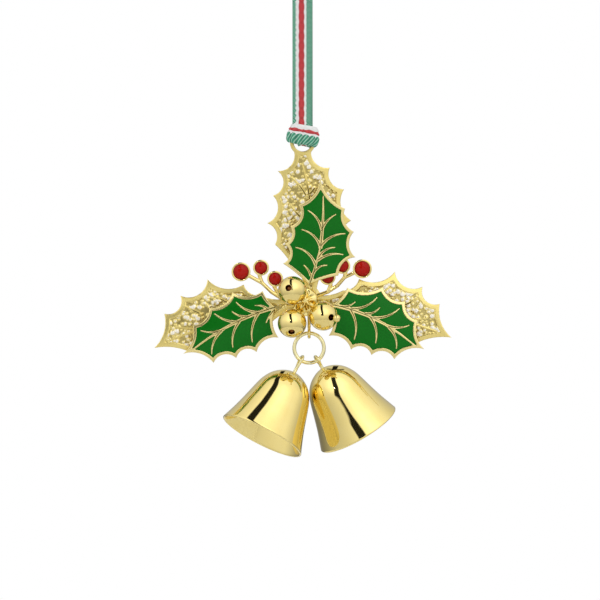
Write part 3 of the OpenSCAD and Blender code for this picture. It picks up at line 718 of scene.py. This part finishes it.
# ---- Bells ---------------------------------------------------------------------------------------
# Two thin spun shells, polished and gold plated: a round crown, a waist that flares to the mouth, and
# a rounded lip. They hang from the ring side by side and lean outwards, with a small gap between them.
bell_radius = 11.6
bell_height = 19.4
bell_wall = 0.55
crown_hole = 0.56
eye_length = {"left": 3.85, "right": 2.65}
# the outline from the mouth up, as shares of the mouth's radius and of the height
bell_shape = [(1, 0), (0.92, 0.13), (0.843, 0.265), (0.776, 0.4), (0.715, 0.53), (0.648, 0.67),
              (0.598, 0.745), (0.502, 0.84), (0.375, 0.915), (0.2, 0.975), (0.05, 1)]


def bell_profile():
    outline = [(r * bell_radius, 0, h * bell_height) for r, h in bell_shape]
    outer = smooth_line(outline, 0.35)[0]
    for _ in range(5):
        eased = [(a + 2 * b + c) / 4 for a, b, c in zip(outer, outer[1:], outer[2:])]
        outer = [outer[0]] + eased + [outer[-1]]
    inner = []
    for i, p in enumerate(outer):
        d = (outer[min(i + 1, len(outer) - 1)] - outer[max(i - 1, 0)]).normalized()
        inner.append((max(0.05, p.x - d.z * bell_wall), p.z + d.x * bell_wall))
    lip = [(bell_radius - bell_wall * (0.5 - 0.5 * math.cos(a)), -0.27 * math.sin(a) + 0.02)
           for a in (math.pi * k / 8 for k in range(1, 8))]
    outside = [(p.x, p.z) for p in outer if p.x > crown_hole]
    inside = [p for p in inner if p[0] > crown_hole and p[1] > 0.1]
    top = [(crown_hole, outside[-1][1] + 0.02), (crown_hole, inside[-1][1])]
    return outside + top + inside[::-1] + lip[::-1]


# where each bell's eye hangs on the ring, the way the bell points, and the way its back faces
bells = {"left": ((-0.5443, -2.4, -110.6766), (-0.44117, -0.25038, -0.86179), (-0.11409, 0.96815, -0.22287)),
         "right": ((4.0443, -2.4, -110.6766), (0.49695, 0.19081, -0.84654), (-0.0966, 0.98163, 0.16455))}
for side, (pivot, down, back) in bells.items():
    up, y = -Vector(down), Vector(back)
    x = y.cross(up).normalized()
    turn_to = Matrix((x, y, up)).transposed().to_4x4()
    place = Matrix.Translation(pivot) @ turn_to @ Matrix.Translation((0, 0, -eye_length[side] - bell_height))
    shell = put(f"bell_{side}_shell", turned(bell_profile(), 160, place, closed=True), "shell_" + side,
                bright_gold)
    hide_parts("bell_" + side)

# ---- Studio --------------------------------------------------------------------------------------
# Two tall diffusers in front with a dark slit between them, a dark bar above, and a pale floor.
floor_radius = 250 * mm
floor_height = -225 * mm
floor_bm = bmesh.new()
bmesh.ops.create_circle(floor_bm, cap_ends=True, segments=96, radius=floor_radius)
bmesh.ops.translate(floor_bm, vec=(0, 0, floor_height), verts=floor_bm.verts)
floor_mesh = bpy.data.meshes.new("studio_floor")
floor_bm.to_mesh(floor_mesh)
floor_bm.free()
paper, tree, shader = new_material("pale_paper")
grain = tree.nodes.new("ShaderNodeTexNoise")
grain.inputs["Scale"].default_value = 60
paper_colour = blend_colours(tree, grain.outputs[0], (0.86, 0.86, 0.85), (0.9, 0.9, 0.89))
tree.links.new(paper_colour, shader.inputs["Base Color"])
shader.inputs["Roughness"].default_value = 0.9
floor_mesh.materials.append(paper)
studio_floor = bpy.data.objects.new("studio_floor", floor_mesh)
bpy.context.scene.collection.objects.link(studio_floor)

world = bpy.data.worlds.new("studio")
bpy.context.scene.world = world
world.use_nodes = True
tree = world.node_tree
tree.nodes.clear()
spot = tree.nodes.new("ShaderNodeTexCoord")
parts = tree.nodes.new("ShaderNodeSeparateXYZ")
tree.links.new(spot.outputs["Generated"], parts.inputs[0])
x, y, z = parts.outputs


def soft_mask(value, low, high, soft=0.02):
    """1 between low and high, with soft ends."""
    rise = sums(tree, "DIVIDE", sums(tree, "SUBTRACT", value, low - soft), 2 * soft, clamp=True)
    fall = sums(tree, "DIVIDE", sums(tree, "SUBTRACT", high + soft, value), 2 * soft, clamp=True)
    return sums(tree, "MULTIPLY", rise, fall)


# The way a mirror must face to show this part of the studio to someone in front: half way between
# the direction to them and the direction to that part.
slit_half = 0.078
ahead = sums(tree, "SUBTRACT", y, 1.0)
flat_square = sums(tree, "ADD", sums(tree, "MULTIPLY", x, x), sums(tree, "MULTIPLY", z, z))
length = sums(tree, "SQRT", sums(tree, "ADD", flat_square, sums(tree, "MULTIPLY", ahead, ahead)))
aside = sums(tree, "DIVIDE", x, length)
rise = sums(tree, "DIVIDE", z, length)
bend = sums(tree, "ADD", 0.07, sums(tree, "MULTIPLY", soft_mask(rise, 0.5, 0.72, 0.25), 0.1))
bend = sums(tree, "SUBTRACT", bend, sums(tree, "MULTIPLY", soft_mask(rise, 0.85, 3.0, 0.12), 0.12))
slit = sums(tree, "MULTIPLY", soft_mask(sums(tree, "ADD", aside, bend), -slit_half, slit_half, 0.01),
            soft_mask(rise, 0.03, 0.96, 0.015))
bar = sums(tree, "MULTIPLY", soft_mask(rise, 0.81, 0.85, 0.015), soft_mask(aside, -0.3, 0.3, 0.03))
dark = sums(tree, "MAXIMUM", slit, bar)
around = sums(tree, "ARCTAN2", z, sums(tree, "MULTIPLY", y, -1.0))
sky = sums(tree, "MULTIPLY", soft_mask(z, 0.0, 3.0, 0.4), 0.5)
panels = sums(tree, "MULTIPLY", soft_mask(sums(tree, "ABSOLUTE", x), 0.0, 0.55, 0.25),
              soft_mask(around, 0.3, 1.1, 0.2))
behind = sums(tree, "MULTIPLY", sums(tree, "ADD", y, 0.15, clamp=True), 0.55)
side_dim = sums(tree, "MULTIPLY", sums(tree, "ABSOLUTE", x), 0.15)
light = sums(tree, "ADD", sums(tree, "ADD", 0.69, sky), sums(tree, "MULTIPLY", panels, 0.52))
light = sums(tree, "SUBTRACT", light, sums(tree, "ADD", behind, side_dim))
light = sums(tree, "MULTIPLY", light, sums(tree, "SUBTRACT", 1.0, sums(tree, "MULTIPLY", dark, 0.985)))
glow = tree.nodes.new("ShaderNodeBackground")
tree.links.new(light, glow.inputs["Strength"])
glow.inputs["Color"].default_value = (1, 1, 1, 1)
plain = tree.nodes.new("ShaderNodeBackground")
plain.inputs["Color"].default_value = (1, 1, 1, 1)
ray = tree.nodes.new("ShaderNodeLightPath")
pick = tree.nodes.new("ShaderNodeMixShader")
tree.links.new(ray.outputs["Is Camera Ray"], pick.inputs[0])
tree.links.new(glow.outputs[0], pick.inputs[1])
tree.links.new(plain.outputs[0], pick.inputs[2])
out = tree.nodes.new("ShaderNodeOutputWorld")
tree.links.new(pick.outputs[0], out.inputs[0])

spark = bpy.data.lights.new("key_spark", "AREA")
spark.energy = 0.05
spark.size = 0.02
spark_at = bpy.data.objects.new("key_spark", spark)
spark_at.location = (-0.16, -0.62, 0.2)
spark_at.rotation_euler = (spark_at.location - view_middle).to_track_quat("Z", "Y").to_euler()
bpy.context.scene.collection.objects.link(spark_at)
bpy.context.scene.view_settings.view_transform = "Standard"
